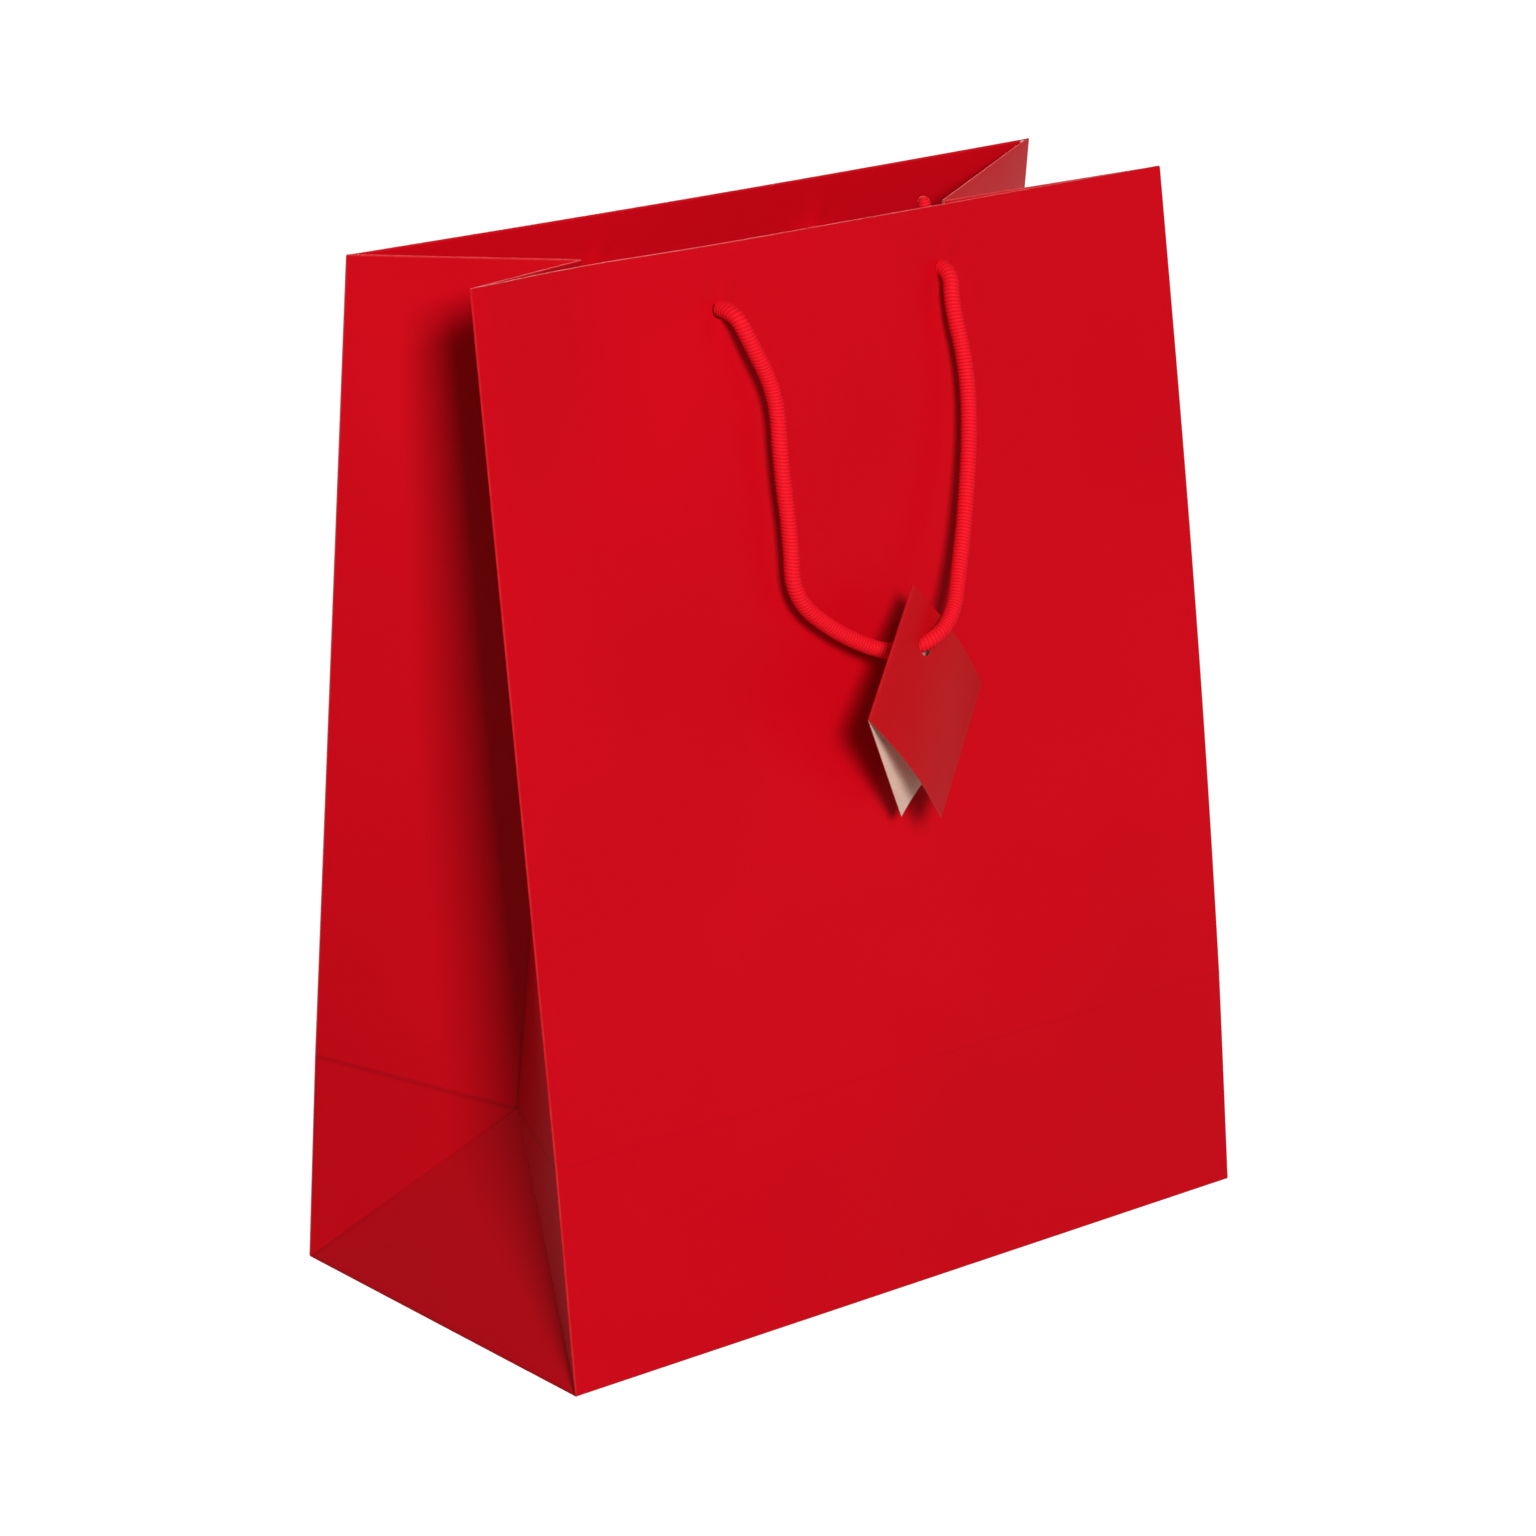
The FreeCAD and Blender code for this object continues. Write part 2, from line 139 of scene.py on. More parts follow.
def step(low, high, t):
    """Smooth step from 0 at low to 1 at high."""
    t = np.clip((t - low) / (high - low), 0, 1)
    return t * t * (3 - 2 * t)


def pucker(x, s, holes):
    """Paper drawn in round each cord hole: a shallow dimple with a few short folds that fade."""
    n = np.zeros_like(x + s)
    for hole_x, hole_s in holes:
        dx, ds = x - hole_x, s - hole_s
        r = np.hypot(dx, ds)
        angle = np.arctan2(ds, dx)
        n = n - 0.45 * MM * bell(r / (7 * MM))
        n = n + 0.16 * MM * np.cos(5 * angle + 0.7) * bell((r - 8 * MM) / (4 * MM))
    return n


def route_holes(route):
    """Centres (x, s) of the two cord holes that a route starts and ends in."""
    return [(x, HEIGHT - drop) for x, drop, _ in (route[0], route[-1])]


def front_bow(x, s):
    """How far the front sheet stands off its plane.

    A slight ridge along the crease at KNEE, a hollow by the top edge near the left corner, and
    a right edge that stands forward at half height.
    """
    half = WIDTH / 2
    ridge = 0.9 * MM * np.minimum(s / KNEE, (HEIGHT - s) / (HEIGHT - KNEE))
    hollow = 4.2 * MM * bell((x + half - 44 * MM) / (30 * MM)) * step(0.55 * HEIGHT, HEIGHT, s)
    hollow = hollow * step(0, 22 * MM, x + half)
    edge = 2.6 * MM * np.sin(math.pi * np.clip(s / HEIGHT, 0, 1)) * step(0.2 * half, half, x)
    return ridge - hollow + edge + pucker(x, s, route_holes(FRONT_CORD_ROUTE))


def rear_bow(x, s):
    """The rear sheet: the same ridge, and a shallow hollow across its top edge."""
    ridge = 0.9 * MM * np.minimum(s / KNEE, (HEIGHT - s) / (HEIGHT - KNEE))
    sag = 1.6 * MM * step(0.5 * HEIGHT, HEIGHT, s) * np.cos(math.pi * x / WIDTH)
    return ridge - sag + pucker(x, s, route_holes(REAR_CORD_ROUTE))


FRONT = Wall("mouth_front", "left_front_gusset_fold", (1, 0, 0), front_bow)
REAR = Wall("mouth_rear", "left_rear_gusset_fold", (-1, 0, 0), rear_bow)


# ---- sheets ----------------------------------------------------------------------------------
def new_mesh(name, points, faces, materials, face_material=None, uv=None, wear_and_painted_light=None):
    """A mesh object from arrays: points (n, 3), faces (m, 4), one material index per face."""
    mesh = bpy.data.meshes.new(name)
    used, compact = np.unique(faces, return_inverse=True)
    faces = compact.reshape(faces.shape)
    mesh.from_pydata(points[used].tolist(), [], faces.tolist())
    if face_material is not None:
        mesh.polygons.foreach_set("material_index", face_material.astype(np.int32))
    if uv is not None:
        layer = mesh.uv_layers.new(name="sheet")
        layer.data.foreach_set("uv", uv[used][faces.ravel()].astype(np.float32).ravel())
    # Per-point crease marks: rubbed wear and painted highlights on outward folds, painted shade in
    # inward folds and cord grooves.
    if wear_and_painted_light is not None:
        attribute = mesh.attributes.new("wear_and_painted_light", "FLOAT", "POINT")
        attribute.data.foreach_set("value", wear_and_painted_light[used].astype(np.float32))
    for material in materials:
        mesh.materials.append(material)
    mesh.shade_smooth()
    mesh.set_sharp_from_angle(angle=math.radians(50))
    mesh.update()
    piece = bpy.data.objects.new(name, mesh)
    bpy.context.scene.collection.objects.link(piece)
    return piece


def surface_frame(surface, u, v):
    """Points and unit normals of surface(u, v), the normals from central differences."""
    e = 0.02 * MM
    along_u = surface(u + e, v) - surface(u - e, v)
    along_v = surface(u, v + e) - surface(u, v - e)
    normal = np.cross(along_u, along_v)
    normal /= np.linalg.norm(normal, axis=-1, keepdims=True)
    return surface(u, v), normal


def sheet(name, surface, across, path, materials, out, thickness=PAPER, keep=None, warp=None, wear_and_painted_light=None):
    """Sheet of paper along a surface.

    across are the grid's u values. path holds, for each row, v up the surface, the face's
    height off it, and the face's direction as (share along v, share off the surface). The face
    follows the path, and the back lies one thickness behind it. out is a direction that the
    face looks in. keep drops cells, warp moves the grid's u and v, and the last argument marks
    creases: rubbed wear and painted highlights on outward folds, painted shade on inward ones.
    """
    u, v = np.meshgrid(across, path[:, 0], indexing="ij")
    height, lean_v, lean_n = (np.broadcast_to(path[:, k], u.shape) for k in (1, 2, 3))
    moved_u, moved_v = warp(u, v) if warp else (u, v)
    face, normal = surface_frame(surface, moved_u, moved_v)
    sign = np.sign(np.mean(normal.reshape(-1, 3) @ np.array(out, float)))
    face = face + sign * normal * height[..., None]
    back, normal = surface_frame(surface, moved_u, moved_v - thickness * lean_v)
    back = back + sign * normal * (height - thickness * lean_n)[..., None]
    keep = np.ones((u.shape[0] - 1, u.shape[1] - 1), bool) if keep is None else keep
    uv = np.stack([u, v], -1).reshape(-1, 2)
    wear_and_painted_light = np.zeros(u.shape) if wear_and_painted_light is None else wear_and_painted_light(u, v)
    return closed_sheet(name, face, back, keep, uv, wear_and_painted_light, materials)


def closed_sheet(name, face, back, keep, uv, wear_and_painted_light, materials):
    """Two grids of points joined along every open edge; material 0 face, 1 back, 2 cut edge."""
    nu, nv = face.shape[:2]
    index = np.arange(nu * nv).reshape(nu, nv)
    cells = np.stack([index[:-1, :-1], index[1:, :-1], index[1:, 1:], index[:-1, 1:]], -1)[keep]
    padded = np.pad(keep, 1).astype(int)
    rims = []
    change = padded[1:-1, 1:] - padded[1:-1, :-1]
    p, q = index[:-1, :], index[1:, :]
    rims += [np.stack([q, p], -1)[change > 0], np.stack([p, q], -1)[change < 0]]
    change = padded[1:, 1:-1] - padded[:-1, 1:-1]
    p, q = index[:, :-1], index[:, 1:]
    rims += [np.stack([p, q], -1)[change > 0], np.stack([q, p], -1)[change < 0]]
    rims = np.concatenate(rims)
    total = nu * nv
    cut_edge = np.stack([rims[:, 0], rims[:, 1], rims[:, 1] + total, rims[:, 0] + total], -1)
    quads = [cells, cells[:, ::-1] + total, cut_edge]
    kinds = np.repeat([0, 1, 2], [len(block) for block in quads])
    faces = np.concatenate(quads)
    a, b, c = (face.reshape(-1, 3)[cells[:, k]] for k in (0, 1, 3))
    outward = (face - back).reshape(-1, 3)[cells[:, 0]]
    if np.mean(np.sum(np.cross(b - a, c - a) * outward, axis=1)) < 0:
        faces = faces[:, ::-1]
    points = np.concatenate([face.reshape(-1, 3), back.reshape(-1, 3)])
    return new_mesh(name, points, faces, materials, kinds, np.tile(uv, (2, 1)), np.tile(wear_and_painted_light.ravel(), 2))


def flat_path(rows, height=0.0):
    """Path of a sheet that isn't folded: straight along v at one height."""
    return np.stack([rows, np.full(len(rows), height), np.zeros(len(rows)), np.ones(len(rows))], -1)


def turned_path(rows, top, depth, hem_rows):
    """Path up a sheet, over its top edge in a half circle, and down behind it.

    depth is how far the turned-in face lies behind the outer face, and hem_rows are its v
    values from the top edge down.
    """
    radius = depth / 2
    close = top - radius - NEAR_FOLD[::-1]
    turn = np.linspace(0, math.pi, 9)[1:-1]
    over = np.stack([top - radius + radius * np.sin(turn), radius * (np.cos(turn) - 1),
                     np.sin(turn), np.cos(turn)], -1)
    up = flat_path(np.append(rows[rows < close[0] - MM], close))
    down = flat_path(np.append(close[::-1], hem_rows[hem_rows < close[0] - MM]), -depth)
    down[:, 3] = -1
    return np.concatenate([up, over, down])


def behind_steps(path, depth):
    """True for the steps of a turned path that lie behind the sheet."""
    return (path[1:, 1] < -depth / 2 - 1e-6) & (path[:-1, 1] < -depth / 2 + 1e-6)


def lines(low, high, spacing, fine=()):
    """Grid lines from low to high, about spacing apart, with finer lines in some bands.

    fine holds (centre, reach, gap) of each band, whose lines lie evenly about its centre.
    """
    bands = [centre + gap * np.arange(-round(reach / gap), round(reach / gap) + 1)
             for centre, reach, gap in fine]
    bands = [band[(band > low) & (band < high)] for band in bands]
    coarse = np.linspace(low, high, max(2, round((high - low) / spacing) + 1))
    inside = np.zeros(len(coarse), bool)
    for band in bands:
        inside |= (coarse > band[0] - 0.4 * spacing) & (coarse < band[-1] + 0.4 * spacing)
    inside[[0, -1]] = False
    return np.unique(np.round(np.concatenate([coarse[~inside], *bands]), 7))


def hole_cells(across, rows, holes, width=CORD_HOLE):
    """True for the grid's cells that lie outside every square hole of that width."""
    mid_u = (across[1:] + across[:-1])[:, None] / 2
    mid_v = (rows[1:] + rows[:-1])[None, :] / 2
    keep = np.ones((len(across) - 1, len(rows) - 1), bool)
    for u, v in holes:
        keep &= np.maximum(abs(mid_u - u), abs(mid_v - v)) > width / 2
    return keep


def round_holes(holes, width=CORD_HOLE):
    """A warp that turns the grid's squares round each hole into circles.

    A point at square distance q and round distance r from a centre moves by the factor q / r,
    fully at the hole's edge and not at all from HOLE_REACH on.
    """
    def warp(u, v):
        for hole_u, hole_v in holes:
            du, dv = u - hole_u, v - hole_v
            square = np.maximum(abs(du), abs(dv))
            ring = np.hypot(du, dv) + 1e-9
            share = np.clip((HOLE_REACH - square) / (HOLE_REACH - width / 2), 0, 1)
            scale = 1 - share + share * square / ring
            u, v = hole_u + du * scale, hole_v + dv * scale
        return u, v
    return warp


# ---- materials -------------------------------------------------------------------------------
class Nodes:
    """Short calls for building one material's node tree."""

    def __init__(self, name, **values):
        self.material = bpy.data.materials.new(name)
        self.material.use_nodes = True
        self.tree = self.material.node_tree
        self.shader = self.tree.nodes["Principled BSDF"]
        for socket, value in values.items():
            self.shader.inputs[socket.replace("_", " ")].default_value = value

    def add(self, kind, **inputs):
        """A node with its sockets set: by name, or by index as i0, i1 and so on."""
        node = self.tree.nodes.new("ShaderNode" + kind)
        for socket, value in inputs.items():
            by_index = socket[0] == "i" and socket[1:].isdigit()
            self.set(node.inputs[int(socket[1:]) if by_index else socket.replace("_", " ")], value)
        return node

    def set(self, socket, value):
        """Link a socket to another node's output, or give it a constant."""
        if isinstance(value, bpy.types.NodeSocket):
            self.tree.links.new(value, socket)
        else:
            socket.default_value = value

    def math(self, operation, a, b=0.0, c=0.0):
        """Output of a Math node on a, b and c."""
        node = self.tree.nodes.new("ShaderNodeMath")
        node.operation = operation
        for socket, value in zip(node.inputs, (a, b, c)):
            self.set(socket, value)
        return node.outputs[0]

    def mix(self, factor, a, b):
        """Colour a at factor 0, b at factor 1."""
        node = self.tree.nodes.new("ShaderNodeMix")
        node.data_type = "RGBA"
        self.set(node.inputs[0], factor)
        self.set(node.inputs[6], a)
        self.set(node.inputs[7], b)
        return node.outputs[2]

    def range(self, value, low, high, to_low, to_high):
        """The value with low to high stretched onto to_low to to_high."""
        node = self.add("MapRange", i0=value, i1=low, i2=high, i3=to_low, i4=to_high)
        return node.outputs[0]

    def noise(self, vector, scale, detail=3.0, roughness=0.5):
        """Noise of 0 to 1 at a point, scale spots to the metre."""
        node = self.add("TexNoise", Vector=vector, Scale=scale, Detail=detail, Roughness=roughness)
        return node.outputs[0]

    def object_point(self):
        """The shaded point in the piece's own space."""
        return self.add("TexCoord").outputs["Object"]

    def stretched(self, vector, scale):
        """A point scaled along each axis, which stretches a noise that reads it."""
        return self.add("Mapping", Vector=vector, Scale=scale).outputs[0]

    def bump(self, height, strength, distance):
        """Fine relief that the mesh doesn't carry."""
        node = self.add("Bump", Strength=strength, Distance=distance, Height=height)
        self.tree.links.new(node.outputs[0], self.shader.inputs["Normal"])

    def colour(self, value):
        """Set or link the shader's colour."""
        self.set(self.shader.inputs["Base Color"], value)

    def roughness(self, value):
        """Set or link the shader's roughness."""
        self.set(self.shader.inputs["Roughness"], value)


def linear(red, green, blue):
    """Colour given as 0 to 255 on the usual display scale, as a shader wants it."""
    channels = np.array([red, green, blue]) / 255
    return (*np.where(channels <= 0.04045, channels / 12.92, ((channels + 0.055) / 1.055) ** 2.4), 1.0)


def laminated_red(name, red, pale):
    """Red print under satin film: faint cloudiness, film ripple, and paler, rougher creases.

    A crease mark above 0 is an outward fold, paled by rubbed wear and a painted highlight
    along its rounded edge, and below 0 an inward one, darkened by painted shade.
    """
    m = Nodes(name, Specular_IOR_Level=0.04)
    point = m.object_point()
    cloud = m.noise(point, 9.0, 2.0)
    fine = m.noise(point, 900.0, 2.0)
    colour = m.mix(m.range(cloud, 0.3, 0.7, 0.0, 1.0), linear(*red), linear(*(0.965 * np.array(red))))
    wear_and_painted_light = m.add("Attribute")
    wear_and_painted_light.attribute_name = "wear_and_painted_light"
    # Painted shade: inward folds are darkened towards half the red.
    painted_crease_shade = m.math("MULTIPLY", wear_and_painted_light.outputs["Fac"], -1.0)
    colour = m.mix(painted_crease_shade, colour, linear(*(0.5 * np.array(red))))
    # Outward folds are paled: rubbed wear broken up by crack noise, with a painted highlight along the
    # rounded edges.
    crack = m.noise(m.stretched(point, (1.0, 1.0, 0.35)), 700.0, 4.0, 0.7)
    outward_folds = m.math("MAXIMUM", wear_and_painted_light.outputs["Fac"], 0.0)
    wear_and_highlight = m.math("MULTIPLY", outward_folds, m.range(crack, 0.42, 0.62, 0.4, 1.0))
    m.colour(m.mix(wear_and_highlight, colour, linear(*pale)))
    gloss = m.range(m.noise(point, 25.0, 3.0), 0.3, 0.7, 0.34, 0.42)
    m.roughness(m.math("ADD", gloss, m.math("MULTIPLY", wear_and_highlight, 0.25)))
    ripple = m.math("ADD", m.noise(point, 14.0, 2.0), m.math("MULTIPLY", fine, 0.012))
    m.bump(ripple, 0.22, 0.0016)
    return m.material


def plain_paper(name, tone, grain=1.0):
    """Uncoated paper: fibres as fine stretched noise, with faint specks."""
    m = Nodes(name, Specular_IOR_Level=0.3)
    point = m.object_point()
    fibre = m.noise(m.stretched(point, (1.0, 0.6, 1.7)), 1400.0, 3.0, 0.6)
    cloud = m.noise(point, 60.0, 3.0)
    darker = tuple(0.9 * np.array(tone))
    mottle = m.range(m.math("ADD", fibre, cloud), 0.8, 1.25, 0.0, 1.0)
    m.colour(m.mix(mottle, linear(*tone), linear(*darker)))
    m.roughness(m.range(fibre, 0.3, 0.7, 0.82, 0.94))
    m.bump(fibre, 0.35, 0.00012 * grain)
    return m.material


def grey_board(name):
    """Recycled board: grey with dark and pale flecks and a rough face."""
    m = Nodes(name, Specular_IOR_Level=0.25)
    point = m.object_point()
    fleck = m.noise(m.stretched(point, (1.0, 0.5, 2.0)), 600.0, 5.0, 0.75)
    cloud = m.noise(point, 40.0, 2.0)
    tone = m.mix(m.range(fleck, 0.35, 0.68, 0.0, 1.0), linear(134, 128, 118), linear(182, 176, 165))
    m.colour(m.mix(m.range(cloud, 0.35, 0.65, 0.0, 0.25), tone, linear(158, 150, 138)))
    m.roughness(m.range(fleck, 0.3, 0.7, 0.85, 0.97))
    m.bump(fleck, 0.5, 0.0002)
    return m.material


def two_sided_flap(name):
    """Bottom flap: printed red below, bare paper above, told apart by which way the face looks."""
    m = Nodes(name, Specular_IOR_Level=0.2)
    point = m.object_point()
    normal = m.add("NewGeometry").outputs["Normal"]
    up = m.add("SeparateXYZ", Vector=m.add("VectorTransform", Vector=normal).outputs[0]).outputs["Z"]
    fibre = m.noise(point, 1400.0, 3.0, 0.6)
    white = m.mix(fibre, linear(236, 230, 222), linear(220, 214, 206))
    cloud = m.range(m.noise(point, 12.0, 2.0), 0.3, 0.7, 0.0, 1.0)
    red = m.mix(cloud, linear(206, 14, 28), linear(197, 13, 27))
    above = m.range(up, 0.2, 0.4, 0.0, 1.0)
    m.colour(m.mix(above, red, white))
    m.roughness(m.range(above, 0.0, 1.0, 0.42, 0.88))
    m.bump(fibre, 0.15, 0.0001)
    return m.material


def ribbed_cord(name):
    """Viscose cord: bright red, fibres across each rib, and painted shade in the grooves where
    the ribs meet.
    """
    m = Nodes(name, Specular_IOR_Level=0.05)
    point = m.object_point()
    groove = m.add("Attribute")
    groove.attribute_name = "wear_and_painted_light"
    fibre = m.noise(point, 2600.0, 3.0, 0.7)
    tone = m.mix(m.range(fibre, 0.3, 0.7, 0.0, 1.0), linear(240, 24, 42), linear(228, 18, 36))
    # Painted shade: the grooves between the ribs are darkened towards a deep red.
    m.colour(m.mix(m.math("MULTIPLY", groove.outputs["Fac"], 0.55), tone, linear(170, 4, 16)))
    m.roughness(m.range(fibre, 0.3, 0.7, 0.55, 0.7))
    m.bump(fibre, 0.3, 0.00015)
    return m.material


# The pale colours go on outward folds: rubbed wear with a painted highlight along the rounded edges.
RED_PAPER = laminated_red("red_laminated_paper", (198, 6, 23), (226, 66, 70))
INNER_PAPER = plain_paper("bare_inner_paper", (238, 231, 216))
# Cut edges get a mid red, darker and redder than the white core of the paper: painted shade on the thin
# edges.
CUT_EDGE = plain_paper("cut_paper_edge", (186, 60, 64))
CARD = plain_paper("top_card_stock", (226, 219, 206), 1.5)
TAG_RED = laminated_red("red_tag_card", (190, 10, 20), (200, 36, 46))
TAG_INNER = plain_paper("tag_inner_paper", (236, 207, 188))
CORD_RED = ribbed_cord("ribbed_red_cord")
SHEET_MATERIALS = [RED_PAPER, INNER_PAPER, CUT_EDGE]


# ---- front and rear walls --------------------------------------------------------------------
FLAT = WIDTH / 2 - ROLL                         # half a wall's width up to its rolled corner
CORNER_LINES = FLAT + ROLL * np.radians([20, 40, 60, 80])
HEM_END = WIDTH / 2 - HEM_SIDE_INSET            # half a hem's width
HOLE_BAND = (9 * MM, MM)                        # reach and gap of the fine lines at a cord hole


def wall_surface(wall):
    """Wall sheet at u across and s up: flat but for its bow, and rolled inwards at both sides.

    Past the flat, u is length along an arc of radius ROLL: x goes on as its sine, and n falls
    as its cosine less 1.
    """
    def surface(u, s):
        angle = np.clip((abs(u) - FLAT) / ROLL, 0, math.pi / 2)
        x = np.sign(u) * (np.minimum(abs(u), FLAT) + ROLL * np.sin(angle))
        return wall.place(x, s, ROLL * (np.cos(angle) - 1))
    return surface


def wall_lines(route):
    """Grid lines across a wall: coarse, finer at the cord holes and at the rolled corners."""
    inner = lines(-FLAT, FLAT, 6 * MM, [(x, *HOLE_BAND) for x, _ in route_holes(route)])
    outer = np.concatenate([CORNER_LINES, FLAT - NEAR_FOLD, [HEM_END]])
    return np.unique(np.round(np.concatenate([inner, outer, -outer]), 7))


def bottom_turn(radius):
    """Start of a path: a quarter circle from facing down to facing out, at the bottom crease."""
    turn = np.linspace(0, math.pi / 2, 6)[:-1]
    return np.stack([radius * (1 - np.cos(turn)), radius * (np.sin(turn) - 1),
                     -np.cos(turn), np.sin(turn)], -1)


def turned_edge(v):
    """1 along the top edge, where the sheet turns over, and 0 below it."""
    return step(HEIGHT - 0.5 * MM, HEIGHT - 0.1 * MM, v)


def wall_wear_and_painted_light(u, v):
    """Marks of a wall: rubbed corners, less so upwards, a top edge paled by rubbed wear and a painted
    highlight, and faint painted shade along the crease at KNEE.
    """
    corner = (0.45 - 0.2 * v / HEIGHT) * step(FLAT, FLAT + 0.3 * MM, abs(u))
    return np.clip(corner + 0.12 * turned_edge(v) - 0.06 * bell((v - KNEE) / (0.5 * MM)), -1, 1)


def build_wall(name, wall, route):
    """A wall with its turned-in edge as one sheet, and the card strip between the two."""
    holes = route_holes(route)
    at_hole = (holes[0][1], *HOLE_BAND)
    bend = HEIGHT - HEM_DEPTH / 2
    surface = wall_surface(wall)
    across = wall_lines(route)
    rows = lines(ROLL, bend, 6 * MM, [at_hole, (KNEE, 2 * MM, 0.4 * MM)])
    rows = np.unique(np.append(rows, ROLL + NEAR_FOLD))
    hem_rows = lines(HEIGHT - HEM_DROP, bend, 4 * MM, [at_hole])[::-1]
    path = np.concatenate([bottom_turn(ROLL), turned_path(rows, HEIGHT, HEM_DEPTH, hem_rows)])
    past_hem = abs(across[1:] + across[:-1]) / 2 > HEM_END
    keep = hole_cells(across, path[:, 0], holes)
    keep &= ~(past_hem[:, None] & behind_steps(path, HEM_DEPTH)[None, :])
    sheet_piece = sheet(f"{name}_wall_paper", surface, across, path, SHEET_MATERIALS, wall.out,
                        keep=keep, warp=round_holes(holes), wear_and_painted_light=wall_wear_and_painted_light)
    card_across = across[abs(across) <= HEM_END + 1e-6]
    card_rows = lines(HEIGHT - TOP_CARD_DROP, bend, 6 * MM, [at_hole])
    card = sheet(f"{name}_edge_card", surface, card_across, flat_path(card_rows, -PAPER - GLUE),
                 [CARD] * 3, wall.out, thickness=TOP_CARD,
                 keep=hole_cells(card_across, card_rows, holes), warp=round_holes(holes))
    for piece, node, slot in ((sheet_piece, "panel", "red_paper"), (card, "top_card", "top_card")):
        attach(piece, name)
        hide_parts(f"{name}_{node}")
    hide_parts(f"{name}_hem")


build_wall("front", FRONT, FRONT_CORD_ROUTE)
build_wall("rear", REAR, REAR_CORD_ROUTE)


# ---- side walls ------------------------------------------------------------------------------
CREASE_LAP = 1.6 * MM       # a half side wall's sheet runs on this far past its crease at the foot,
LAP_GROWTH = 5.4 * MM       # and this much farther at the top, so that the crease stays closed
LAP_DROP = 14 * MM          # the lap ends this far below the top edge,
LAP_SLANT = 8 * MM          # with a slanted cut of this height
LAP_LINES = np.array([0.1, 0.5, 1.0]) * MM
SIDE_DENT = 1.1 * MM
SIDE_HEM_DEPTH = 2 * PAPER + 0.1 * MM
TIP_LAP = 1.6 * CREASE_LAP  # the base triangle's tip runs on this far behind the knee
MIDDLE_RISE = np.array([0.0, 0.8, 1.4]) * MM    # the left side wall's crease stands a little higher
TURN_FROM = -220 * MM       # a stretch up each half side wall starts this far below the base,
TURN_TO = 441 * MM          # and ends at this height up its wall
KNEE_TURN = 0.439           # share of that stretch at KNEE


def meeting_point(spheres, side):
    """Where three spheres (centre, radius) meet, on the inner side of the side wall.

    In axes from the first centre to the second, and square to that towards the third, x and y
    follow from the differences of the squared radii, and the rise from the first radius.
    """
    (p, rp), (q, rq), (r, rr) = spheres
    span = np.linalg.norm(q - p)
    along = (q - p) / span
    reach = along @ (r - p)
    across = r - p - along * reach
    offset = np.linalg.norm(across)
    across = across / offset
    x = (rp**2 - rq**2 + span**2) / (2 * span)
    y = (rp**2 - rr**2 + reach**2 + offset**2 - 2 * reach * x) / (2 * offset)
    rise = np.cross(along, across) * math.sqrt(rp**2 - x**2 - y**2)
    base = p + along * x + across * y
    return min(base + rise, base - rise, key=lambda point: side * point[0])


def inside_corner(wall, sign, s):
    """Where a side wall's sheet starts: just behind the rolled corner of a front or rear wall."""
    return wall.place(sign * (WIDTH / 2 - 0.5 * ROLL), s, -0.84 * ROLL)


def middle_crease(side):
    """Knee and top of a side wall's middle crease, each at its flat distance from the corners."""
    bend = {}
    for wall, sign in ((FRONT, side), (REAR, -side)):
        for level, s in (("foot", 0.0), ("knee", KNEE), ("top", HEIGHT)):
            bend[wall, level] = wall.flat(sign * WIDTH / 2, s, 0.0)
    diagonal = KNEE * math.sqrt(2)
    knee = meeting_point([(bend[FRONT, "foot"], diagonal), (bend[REAR, "foot"], diagonal),
                          (bend[FRONT, "knee"], KNEE)], side)
    top = meeting_point([(bend[FRONT, "top"], KNEE), (bend[REAR, "top"], KNEE),
                         (knee, HEIGHT - KNEE)], side)
    return knee, top + (MIDDLE_RISE if side < 0 else 0.0)


def half_side_surface(wall, sign, knee, top):
    """Upper half side wall at u from the wall's crease and s up it: straight lines from the
    crease to the middle crease, with a soft swell above and a dent below half height.

    Past the middle crease, u from KNEE to KNEE + MM spreads over the lap, which grows as
    the height share to the power 1.5 and is cut off at a slant below the top edge.
    """
    outward = np.array([math.copysign(1.0, knee[0]), 0.0, 0.0])

    def surface(u, s):
        share = (s - KNEE) / (HEIGHT - KNEE)
        start = inside_corner(wall, sign, s)
        end = knee + share[..., None] * (top - knee)
        cut = np.clip((HEIGHT - LAP_DROP - s) / LAP_SLANT, 0.01, 1)
        lap = (CREASE_LAP + LAP_GROWTH * np.clip(share, 0, 1)**1.5) * cut
        run = np.minimum(u, KNEE) + np.clip(u / MM - KNEE / MM, 0, 1) * lap
        point = start + (run / KNEE)[..., None] * (end - start)
        swell = bell((share - 0.62) / 0.16) - 0.7 * bell((share - 0.36) / 0.2)
        dent = SIDE_DENT * np.sin(math.pi * np.clip(u / KNEE, 0, 1)) * swell
        return point + dent[..., None] * outward
    return surface


def triangle_surface(a, b, c):
    """Flat triangle at u from its corner a along a to b, and v from 0 at a to 1 at the edge b c."""
    def surface(u, v):
        edge_point = b + u[..., None] * (c - b)
        return a + v[..., None] * (edge_point - a)
    return surface


